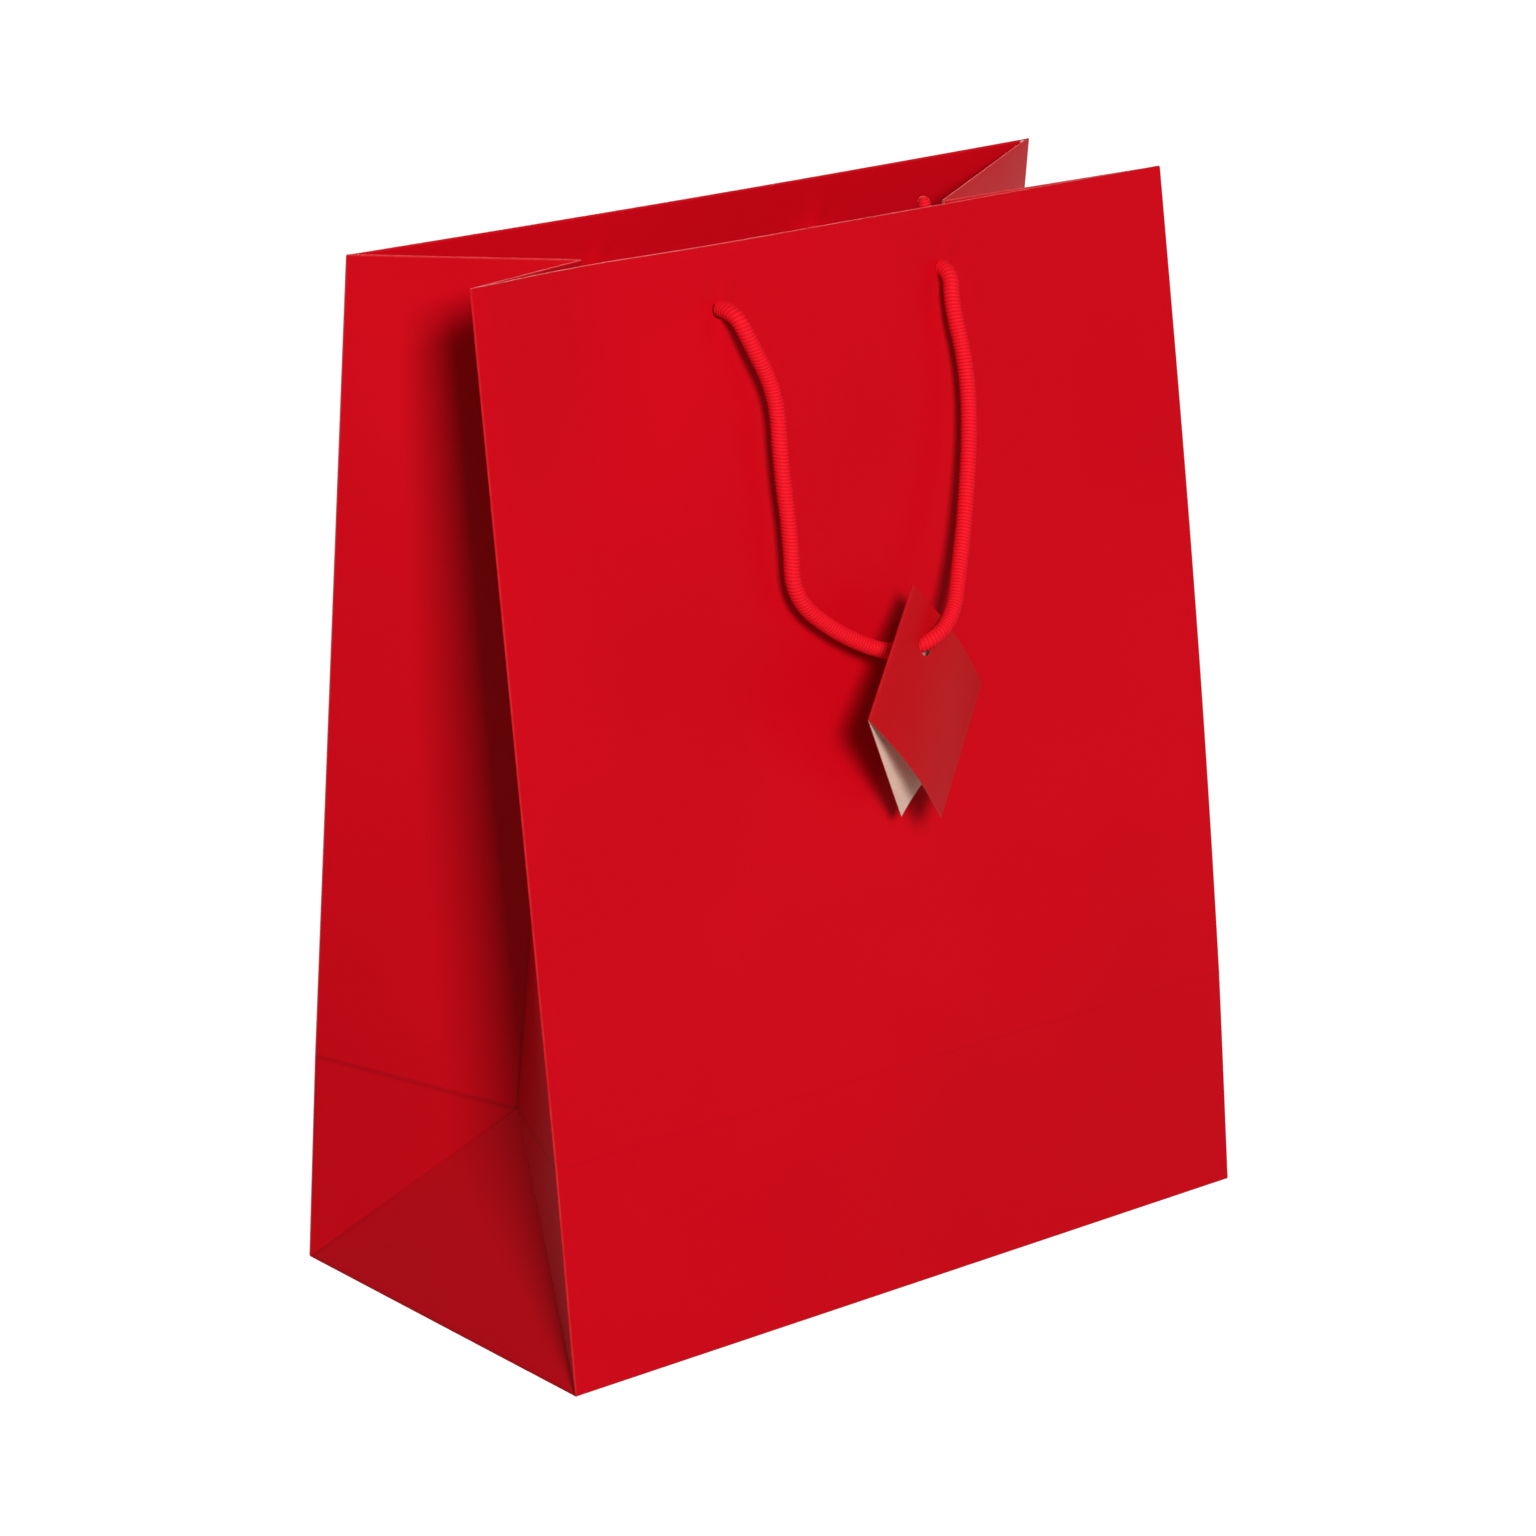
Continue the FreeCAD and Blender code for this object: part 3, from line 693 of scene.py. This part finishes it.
def triangle_sheet(name, a, b, c, out):
    """Triangular panel of paper as a fan of rows from its corner a, with painted shade along its
    creased edges.

    The back lies one thickness behind the face, on the side away from out.
    """
    near = np.array([0.0, 0.005, 0.012, 0.022, 0.04])
    shares = np.unique(np.concatenate([near, np.linspace(0.08, 0.92, 12), 1 - near]))
    u, v = np.meshgrid(shares, shares, indexing="ij")
    face = triangle_surface(a, b, c)(u, v)
    normal = np.cross(b - a, c - a)
    normal = normal / np.linalg.norm(normal) * np.sign(normal @ out)
    edges = [bell(distance / 0.012) for distance in (v - 1, u, u - 1)]
    # Painted shade along the three creased edges.
    wear_and_painted_light = -FOLD_PAINTED_SHADE * np.maximum.reduce(edges)
    keep = np.ones((len(shares) - 1, len(shares) - 1), bool)
    uv = np.stack([u, v], -1).reshape(-1, 2) * KNEE
    return closed_sheet(name, face, face - normal * PAPER, keep, uv, wear_and_painted_light, SHEET_MATERIALS)


def side_wear_and_painted_light(u, v):
    """Marks of a half side wall: a top edge paled by rubbed wear and a painted highlight, and
    painted shade along the creases at its foot and middle.
    """
    foot = bell((v - KNEE) / (0.6 * MM))
    middle = bell((u - KNEE) / (0.5 * MM))
    return np.clip(0.6 * turned_edge(v) - FOLD_PAINTED_SHADE * (foot + middle), -1, 1)


def side_grid():
    """Grid lines across a half side wall with its lap, and its path up and over the top edge."""
    bend = HEIGHT - SIDE_HEM_DEPTH / 2
    coarse = lines(0.5 * MM, KNEE - 1.6 * MM, 4 * MM)
    across = np.concatenate([[0.0, HEM_SIDE_INSET], coarse, KNEE - NEAR_FOLD, KNEE + LAP_LINES])
    lap_end = HEIGHT - LAP_DROP
    rows = lines(KNEE, bend, 5 * MM, [(KNEE + MM, MM, 0.25 * MM)])
    rows = np.unique(np.append(rows, [lap_end - LAP_SLANT, lap_end]))
    hem_rows = lines(HEIGHT - HEM_DROP, bend, 5 * MM)[::-1]
    return np.unique(across), turned_path(rows, HEIGHT, SIDE_HEM_DEPTH, hem_rows)


def build_side(hand, side):
    """One folded side wall: two halves with their turned-in edges, two feet and a base triangle."""
    knee, top = middle_crease(side)
    notch = np.array([side, 0.0, 0.0])
    across, path = side_grid()
    middles = (across[1:] + across[:-1]) / 2
    past_hem = (middles < HEM_SIDE_INSET) | (middles > KNEE)
    keep = ~(past_hem[:, None] & behind_steps(path, SIDE_HEM_DEPTH)[None, :])
    for wall_name, wall, sign in (("front", FRONT, side), ("rear", REAR, -side)):
        surface = half_side_surface(wall, sign, knee, top)
        upper = sheet(f"{hand}_{wall_name}_side_paper", surface, across, path, SHEET_MATERIALS, notch,
                      keep=keep, wear_and_painted_light=side_wear_and_painted_light)
        foot_corner = inside_corner(wall, sign, 0.0)
        knee_corner = inside_corner(wall, sign, KNEE)
        foot = triangle_sheet(f"{hand}_{wall_name}_side_foot", foot_corner, knee_corner, knee, notch)
        start, end = (wall.flat(0.0, s, 0.0) for s in (TURN_FROM, TURN_TO))
        tuple(start)
        tuple(end)
        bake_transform(upper)
        middle = wall.flat(0.0, KNEE, 0.0)
        far = wall.up * 100.0       # a very long stretch up the wall
        start, end = middle - KNEE_TURN * far, middle + (1 - KNEE_TURN) * far
        tuple(start)
        tuple(end)
        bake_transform(foot)
        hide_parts(f"{hand}_{wall_name}_gusset", f"{hand}_{wall_name}_gusset_hem")
        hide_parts(f"{hand}_{wall_name}_gusset_foot")
    front_foot = inside_corner(FRONT, side, 0.0)
    rear_foot = inside_corner(REAR, -side, 0.0)
    rise = knee - (front_foot + rear_foot) / 2
    tip = knee + TIP_LAP * rise / np.linalg.norm(rise)
    base = triangle_sheet(f"{hand}_base_triangle", tip, front_foot, rear_foot, notch)
    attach(base, f"{hand}_base_fold")
    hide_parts(f"{hand}_base_gusset")


build_side("left", -1)
build_side("right", 1)


SEAM_FLAP = 16 * MM
SEAM_CLEAR = np.array([1.6, 2.1, 1.2]) * MM     # from the corner, the bottom and the hem


def build_seam():
    """Glued lap of the side wall behind the front wall, following the wall's bow."""
    beside, below, above = SEAM_CLEAR
    start = beside - WIDTH / 2
    across = np.linspace(start, start + SEAM_FLAP, 8)
    rows = lines(below, HEIGHT - HEM_DROP - above, 6 * MM)
    lap = sheet("front_seam_lap", wall_surface(FRONT), across, flat_path(rows, -PAPER - GLUE),
                SHEET_MATERIALS, FRONT.out)
    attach(lap, "front")
    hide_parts("front_seam_flap")


build_seam()


# ---- cords -----------------------------------------------------------------------------------
RIB_PITCH = 1.05 * MM
RIB_DEPTH = 0.2 * MM
RIB_SKEW = 0.35 * RIB_PITCH
AROUND = 20                 # points round the cord


def smooth_line(points, steps_per_run=24):
    """The line of a NURBS curve through control points, read back as evenly spaced points."""
    curve = bpy.data.curves.new("route", "CURVE")
    curve.dimensions = "3D"
    curve.resolution_u = steps_per_run
    spline = curve.splines.new("NURBS")
    spline.points.add(len(points) - 1)
    spline.points.foreach_set("co", np.column_stack([points, np.ones(len(points))]).ravel())
    spline.order_u = 3
    spline.use_endpoint_u = True
    carrier = bpy.data.objects.new("route", curve)
    bpy.context.scene.collection.objects.link(carrier)
    bpy.context.view_layer.update()
    mesh = bpy.data.meshes.new_from_object(carrier)
    line = np.empty(len(mesh.vertices) * 3)
    mesh.vertices.foreach_get("co", line)
    bpy.data.objects.remove(carrier)
    bpy.data.curves.remove(curve)
    bpy.data.meshes.remove(mesh)
    return line.reshape(-1, 3)


def even_line(line, spacing):
    """The same line with points at an even spacing."""
    along = np.concatenate([[0], np.cumsum(np.linalg.norm(np.diff(line, axis=0), axis=1))])
    at = np.linspace(0, along[-1], max(2, round(along[-1] / spacing) + 1))
    return np.stack([np.interp(at, along, line[:, k]) for k in range(3)], -1), at


def carried_frame(line):
    """Two unit directions square to the line at each point, carried along it without twist."""
    tangent = np.gradient(line, axis=0)
    tangent /= np.linalg.norm(tangent, axis=1, keepdims=True)
    first = np.cross(tangent[0], [0.3, 0.5, 0.8])
    side = [first / np.linalg.norm(first)]
    for t in tangent[1:]:
        carried = side[-1] - t * (t @ side[-1])
        side.append(carried / np.linalg.norm(carried))
    side = np.array(side)
    return side, np.cross(tangent, side)


def ribbed_tube(name, line, diameter, round_end):
    """Cord along a line: rings whose radius swells once per rib, the ribs a little askew.

    The radius at distance d along and angle a round is the cord's own, less a groove where
    d plus RIB_SKEW times sin(a) is near a whole number of rib pitches. A fan of faces closes
    each end, and a round end's radius falls to nearly nothing as a circle's height does.
    """
    line, along = even_line(line, RIB_PITCH / 6)
    side, other = carried_frame(line)
    angle = np.linspace(0, 2 * math.pi, AROUND, endpoint=False)
    phase = (along[:, None] + RIB_SKEW * np.sin(angle)[None, :]) / RIB_PITCH
    groove = (0.5 + 0.5 * np.cos(2 * math.pi * phase)) ** 3
    radius = diameter / 2 - RIB_DEPTH * groove
    if round_end:
        t = np.clip(1 - (along[-1] - along) / (diameter / 2), 0, 1)[:, None]
        radius = radius * np.sqrt(np.maximum(1 - t**2, 1e-4))
    ring = np.cos(angle)[None, :, None] * side[:, None] + np.sin(angle)[None, :, None] * other[:, None]
    points = line[:, None] + ring * radius[..., None]
    index = np.arange(len(line) * AROUND).reshape(len(line), AROUND)
    around = np.roll(index, -1, axis=1)
    quads = np.stack([index[:-1], around[:-1], around[1:], index[1:]], -1).reshape(-1, 4)
    points = np.concatenate([points.reshape(-1, 3), line[[0, -1]]])
    first, last = len(points) - 2, len(points) - 1
    a = np.arange(0, AROUND, 2)
    b = a + 1
    c = (a + 2) % AROUND
    start_cap = np.stack([np.full(AROUND // 2, first), index[0][c], index[0][b], index[0][a]], -1)
    end_cap = np.stack([np.full(AROUND // 2, last), index[-1][a], index[-1][b], index[-1][c]], -1)
    faces = np.concatenate([quads, start_cap, end_cap])
    # The groove depth goes to the material too, which paints shade into the grooves.
    return new_mesh(name, points, faces, [CORD_RED], wear_and_painted_light=np.append(groove.ravel(), [0.0, 0.0])), line


def hung(wall, points):
    """Row-frame points for (x, drop below the top edge, height off the wall)."""
    return wall.flat(points[:, 0], HEIGHT - points[:, 1], points[:, 2])


KNOT_LOOP = 3.05 * MM       # size of the overhand knot's clover
KNOT_CORD = 4.1 * MM        # the cord's thickness where the knot squeezes it
KNOT_SEAT = HEM_DEPTH + 0.3 * MM
KNOT_MIDDLE = KNOT_SEAT + 4.6 * MM      # depth of the knot's middle behind the wall
KNOT_WEAVE = 1.7 * MM       # how far the cord goes over and under itself


def knot_route(hole, tail, up):
    """Control points of one knotted end: in through the hole, round an overhand knot, and out.

    The knot is a clover: x = sin t + 2 sin 2t, s = cos t - 2 cos 2t, and the cord passes over
    and under itself as sin 3t. tail is how far its end stands off the hole, up or down the wall.
    """
    x, drop, n = hole
    way = -1 if up else 1
    t = np.linspace(0.35, 2 * math.pi - 0.1, 17)
    loop = KNOT_LOOP / 3
    clover_x = loop * (np.sin(t) + 2 * np.sin(2 * t))
    clover_s = loop * (np.cos(t) - 2 * np.cos(2 * t)) * way
    clover_n = -KNOT_MIDDLE - KNOT_WEAVE * np.sin(3 * t)
    knot = np.stack([x + clover_x, drop - clover_s, clover_n], -1)
    stub = np.array([(x, drop, n + 0.5 * MM), (x, drop, n), (x, drop, -KNOT_SEAT)])
    tail_points = np.array([(knot[-1, 0] + 0.4 * MM, drop + way * share * tail, -KNOT_MIDDLE - lift)
                            for share, lift in ((0.45, 0.6 * MM), (0.75, 0.2 * MM), (1.0, 0.0))])
    return np.concatenate([stub, knot, tail_points])


LOOP_BEND = 16 * MM


def build_handle(name, wall, route, tails):
    """A cord loop outside its wall, and its two knotted ends inside.

    The loop stays with the wall at its holes and swings fully from LOOP_BEND below them. tails
    tails holds each knotted end's (length, whether it points up).
    """
    line = smooth_line(hung(wall, route))
    loop, path = ribbed_tube(f"{name}_cord_loop", line, CORD, round_end=False)
    start, end = (wall.flat(0.0, HEIGHT - route[0][1] - drop, 0.0) for drop in (0.0, LOOP_BEND))
    tuple(start)
    tuple(end)
    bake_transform(loop)
    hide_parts(f"{name}_handle_cord")
    knots = []
    hands = ("left", "right") if name == "front" else ("right", "left")
    for hand, hole, (tail, up) in zip(hands, (route[0], route[-1]), tails):
        end_line = smooth_line(hung(wall, knot_route(hole, tail, up)), 12)
        knot, _ = ribbed_tube(f"{name}_{hand}_cord_knot", end_line, KNOT_CORD, round_end=True)
        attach(knot, name)
        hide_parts(f"{name}_{hand}_knot")
        knots.append(knot)
    return loop, path, knots


front_loop, front_path, front_knots = build_handle(
    "front", FRONT, FRONT_CORD_ROUTE, ((13 * MM, False), (21.5 * MM, True)))
rear_loop, rear_path, rear_knots = build_handle(
    "rear", REAR, REAR_CORD_ROUTE, ((13 * MM, False), (13 * MM, False)))


# ---- tag -------------------------------------------------------------------------------------
TAG_SIDE = 50 * MM
TAG_CARD = 0.3 * MM
TAG_HOLE_INSET = 13 * MM
TAG_EYE = 6.4 * MM
TAG_ROLL = 0.35 * MM            # outside radius of the tag's fold
FOLD = np.array(JOINT["tag_open"]["axis"], float)
TAG_CORNER = np.array(JOINT["tag_open"]["pos_m"], float)
TAG_HOLE = np.array(JOINT["tag_swing"]["pos_m"], float)


def tag_directions():
    """Unit vectors along the upper edge and out of the front leaf, from its fold and hole."""
    edge = TAG_HOLE - TAG_CORNER
    edge = edge - FOLD * (edge @ FOLD)
    edge /= np.linalg.norm(edge)
    out = np.cross(FOLD, edge)
    return edge, out * np.sign(out @ FRONT.out)


TAG_EDGE, TAG_OUT = tag_directions()


def leaf_surface(opening, curl):
    """Leaf at u along the fold and v away from it: turned about the fold, and curled.

    The height off the leaf's plane is curl(u, v), with both as shares of the side.
    """
    across = math.cos(opening) * TAG_EDGE - math.sin(opening) * TAG_OUT
    out = math.cos(opening) * TAG_OUT + math.sin(opening) * TAG_EDGE

    def surface(u, v):
        rise = curl(u / TAG_SIDE, v / TAG_SIDE)
        return TAG_CORNER + u[..., None] * FOLD + v[..., None] * across + rise[..., None] * out
    return surface


def build_leaf(name, body, node, opening, curl, back):
    """One leaf with its cord hole and its half of the fold: red outside, bare inside."""
    along = lines(0.0, TAG_SIDE, 1.6 * MM, [(TAG_HOLE_INSET, HOLE_REACH, TAG_EYE / 6)])
    turn = np.linspace(opening, math.pi / 2, 6)[:-1]
    fold = np.stack([-TAG_ROLL * np.cos(turn), TAG_ROLL * np.sin(turn),
                     -np.cos(turn), np.sin(turn)], -1)
    path = np.concatenate([fold, flat_path(np.unique(np.append(along, NEAR_FOLD)), TAG_ROLL)])
    hole = [(TAG_HOLE_INSET, TAG_HOLE_INSET)]
    # The fold is paled: a painted highlight along its rounded edge, with rubbed wear.
    leaf = sheet(name, leaf_surface(opening, curl), along, path, [TAG_RED, TAG_INNER, CUT_EDGE],
                 -TAG_OUT if back else TAG_OUT, thickness=TAG_CARD,
                 keep=hole_cells(along, path[:, 0], hole, TAG_EYE), warp=round_holes(hole, TAG_EYE),
                 wear_and_painted_light=lambda u, v: 0.5 * bell(v / (0.5 * MM)))
    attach(leaf, body)
    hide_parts(node)
    return leaf


def front_curl(u, v):
    """Front leaf: a slight crown, with its free corner lifted."""
    return 2.2 * MM * np.sin(math.pi * np.clip(v, 0, 1)) + 0.6 * MM * u * v**2


def rear_curl(u, v):
    """Rear leaf: its lower free edge curls away from the front leaf, towards the wall."""
    return -8.5 * MM * step(0.35, 1.1, u) * v


front_leaf = build_leaf("tag_front_card", "tag_front", "tag_front_leaf", 0.0, front_curl, False)
rear_leaf = build_leaf("tag_rear_card", "tag_rear", "tag_rear_leaf", math.radians(5), rear_curl, True)

tuple(front_path[0])
tuple(rear_path[0])
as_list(rear_knots)


# ---- CAD nodes that are shown ----------------------------------------------------------------
def finish_node(node, material):
    """Give a CAD node that stays in view its material."""
    mesh = frame["nodes"][node].data
    mesh.materials.clear()
    mesh.materials.append(material)


FLAP = two_sided_flap("bottom_flap_paper")
for flap in ("front_bottom_flap", "rear_bottom_flap", "left_bottom_flap", "right_bottom_flap"):
    finish_node(flap, FLAP)
finish_node("base_card", grey_board("base_grey_board"))


# ---- floor, light and camera -----------------------------------------------------------------
def seen_directly(tree):
    """1 for rays from the camera, off a glossy face or through glass, and 0 for light on matt faces."""
    path = tree.nodes.new("ShaderNodeLightPath")
    total = None
    for ray in ("Is Camera Ray", "Is Glossy Ray", "Is Transmission Ray"):
        if total is None:
            total = path.outputs[ray]
            continue
        both = tree.nodes.new("ShaderNodeMath")
        both.operation = "MAXIMUM"
        tree.links.new(total, both.inputs[0])
        tree.links.new(path.outputs[ray], both.inputs[1])
        total = both.outputs[0]
    return total


def white_to_camera(name, lit_share, brightness):
    """A surface that stays white to the camera and in reflections, but keeps a share of shadow."""
    material = bpy.data.materials.new(name)
    material.use_nodes = True
    tree = material.node_tree
    tree.nodes.clear()
    output = tree.nodes.new("ShaderNodeOutputMaterial")
    diffuse = tree.nodes.new("ShaderNodeBsdfDiffuse")
    diffuse.inputs["Color"].default_value = (0.38, 0.38, 0.38, 1)
    glow = tree.nodes.new("ShaderNodeEmission")
    glow.inputs["Strength"].default_value = brightness
    mixed = tree.nodes.new("ShaderNodeMixShader")
    mixed.inputs[0].default_value = 1 - lit_share
    chosen = tree.nodes.new("ShaderNodeMixShader")
    seen = seen_directly(tree)
    tree.links.new(diffuse.outputs[0], mixed.inputs[1])
    tree.links.new(glow.outputs[0], mixed.inputs[2])
    tree.links.new(seen, chosen.inputs[0])
    tree.links.new(diffuse.outputs[0], chosen.inputs[1])
    tree.links.new(mixed.outputs[0], chosen.inputs[2])
    tree.links.new(chosen.outputs[0], output.inputs["Surface"])
    return material


def build_floor():
    """Wide square just under the base."""
    half = 6.0
    square = [(-half, -half, 0), (half, -half, 0), (half, half, 0), (-half, half, 0)]
    mesh = bpy.data.meshes.new("floor")
    mesh.from_pydata(square, [], [(0, 1, 2, 3)])
    mesh.materials.append(white_to_camera("white_floor", lit_share=0.08, brightness=1.12))
    floor = bpy.data.objects.new("floor", mesh)
    bpy.context.scene.collection.objects.link(floor)
    floor.location.z = -0.2 * MM


def build_world(strength):
    """White surroundings: full white to the camera and in reflections, softer as light."""
    world = bpy.data.worlds.new("studio")
    world.use_nodes = True
    tree = world.node_tree
    tree.nodes.clear()
    output = tree.nodes.new("ShaderNodeOutputWorld")
    background = tree.nodes.new("ShaderNodeBackground")
    reach = tree.nodes.new("ShaderNodeMapRange")
    reach.inputs[3].default_value = strength
    reach.inputs[4].default_value = 1.0
    tree.links.new(seen_directly(tree), reach.inputs[0])
    tree.links.new(reach.outputs[0], background.inputs["Strength"])
    background.inputs["Color"].default_value = (1, 1, 1, 1)
    tree.links.new(background.outputs[0], output.inputs["Surface"])
    bpy.context.scene.world = world


def softbox(name, target, direction, distance, size, power):
    """Square area lamp that looks at a target from a direction."""
    light = bpy.data.lights.new(name, "AREA")
    light.shape = "SQUARE"
    light.size = size
    light.energy = power
    lamp = bpy.data.objects.new(name, light)
    bpy.context.scene.collection.objects.link(lamp)
    away = Vector(direction).normalized()
    lamp.location = Vector(target) + away * distance
    lamp.rotation_euler = (-away).to_track_quat("-Z", "Y").to_euler()


def build_camera(place, azimuth, elevation, roll, lens):
    """Camera at a place, looking along an azimuth and elevation, turned by roll."""
    a, e, r = (math.radians(angle) for angle in (azimuth, elevation, roll))
    back = Vector((math.sin(a) * math.cos(e), -math.cos(a) * math.cos(e), math.sin(e)))
    right = (-back).cross(Vector((0, 0, 1))).normalized()
    up = right.cross(-back)
    right, up = right * math.cos(r) + up * math.sin(r), up * math.cos(r) - right * math.sin(r)
    data = bpy.data.cameras.new("camera")
    data.lens = lens
    data.sensor_width = 36
    camera = bpy.data.objects.new("camera", data)
    bpy.context.scene.collection.objects.link(camera)
    turn = Matrix((right, up, back)).transposed().to_4x4()
    camera.matrix_world = Matrix.Translation(Vector(place)) @ turn
    bpy.context.scene.camera = camera


build_floor()
build_world(strength=0.18)
MIDDLE = (0.0, 0.0, HEIGHT / 2)
softbox("key", MIDDLE, (-0.3716, -0.8346, 0.4067), distance=4.0, size=1.0, power=155)
softbox("rear", MIDDLE, (0.453, 0.785, 0.423), distance=4.0, size=1.6, power=90)
build_camera((-0.9931, -1.2378, 0.6569), azimuth=-38.705, elevation=17.695, roll=-0.604, lens=125.43)
bpy.context.scene.view_settings.view_transform = "Standard"
